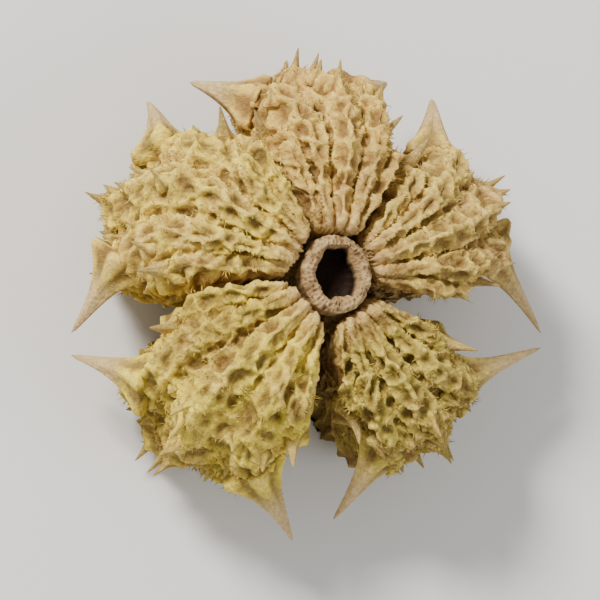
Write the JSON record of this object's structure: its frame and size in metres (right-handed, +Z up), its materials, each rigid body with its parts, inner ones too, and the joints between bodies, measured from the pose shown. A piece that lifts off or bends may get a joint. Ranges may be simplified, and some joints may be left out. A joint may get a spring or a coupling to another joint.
{
  "type": "puncture vine burr",
  "caption": "Dried woody burr fruit of wedge-shaped nutlets round a broken stalk stub, ridged, prickly and set with paired hard spines",
  "frame": {"origin": "on the burr's axis, on the surface that its tip end rests on; the spines' box is centred there to within half a millimetre", "axes": "+Z runs up the burr's axis to the stalk stub; +X and +Y lie in the surface, with the nutlets spread round the axis"},
  "size_m": [0.0133, 0.0132, 0.0059],
  "materials": {
    "nutlet_husk": "dry matt woody husk, yellow olive with pale ridges",
    "stalk_wood": "dry matt fibrous stalk, pinkish tan"
  },
  "bodies": {
    "root": {"nutlet_1": "nutlet_husk", "nutlet_2": "nutlet_husk", "nutlet_3": "nutlet_husk", "nutlet_4": "nutlet_husk", "nutlet_5": "nutlet_husk", "stalk_stub": "stalk_wood"}
  },
  "joints": []
}
